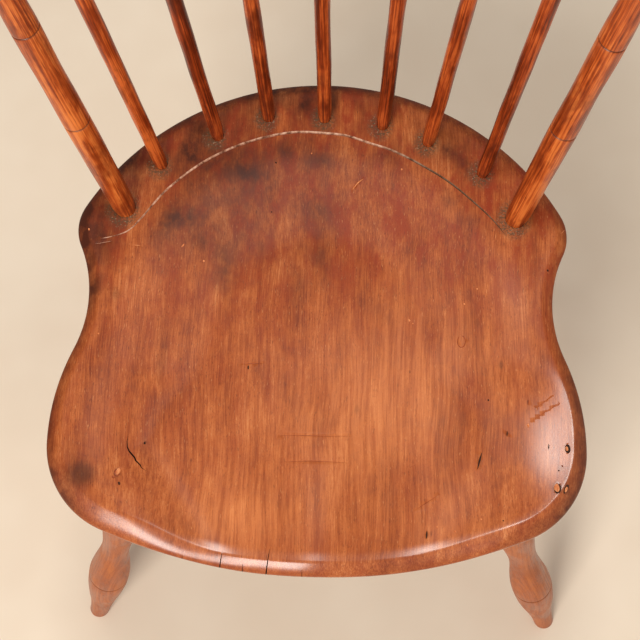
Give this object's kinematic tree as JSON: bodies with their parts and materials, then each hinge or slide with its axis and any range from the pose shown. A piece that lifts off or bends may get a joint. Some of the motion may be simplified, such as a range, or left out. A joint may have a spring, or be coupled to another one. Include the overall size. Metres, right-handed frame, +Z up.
{
  "type": "windsor side chair",
  "caption": "Fan back Windsor side chair: saddled shield seat, bamboo turned splayed legs with an H stretcher, slim spindles between heavier stiles, bent crest rail.",
  "frame": {"origin": "on the floor under the middle of the chair's overall width and depth", "axes": "+Z up, -Y towards the front of the chair, +X towards its right as seen from the front"},
  "size_m": [0.5682, 0.4826, 0.9466],
  "materials": {
    "seat_wood": "worn reddish brown shellac, satin gloss, dark grime at the edges and joints",
    "turned_wood": "reddish brown shellac over open straight grain, satin gloss",
    "spindle_wood": "reddish brown shellac over shaved straight grain, satin gloss",
    "rail_wood": "reddish brown shellac over long grain, satin gloss",
    "pin_wood": "dry end grain, matt"
  },
  "bodies": {
    "root": {"seat": "seat_wood", "leg_front_left": "turned_wood", "leg_front_right": "turned_wood", "leg_rear_left": "turned_wood", "leg_rear_right": "turned_wood", "side_stretcher_left": "turned_wood", "side_stretcher_right": "turned_wood", "medial_stretcher": "turned_wood", "stile_left": "turned_wood", "stile_right": "turned_wood", "spindle_1": "spindle_wood", "spindle_2": "spindle_wood", "spindle_3": "spindle_wood", "spindle_4": "spindle_wood", "spindle_5": "spindle_wood", "spindle_6": "spindle_wood", "spindle_7": "spindle_wood", "crest_rail": "rail_wood", "crest_peg_left": "pin_wood", "crest_peg_right": "pin_wood", "stile_wedge_left": "pin_wood", "stile_wedge_right": "pin_wood"}
  },
  "joints": []
}
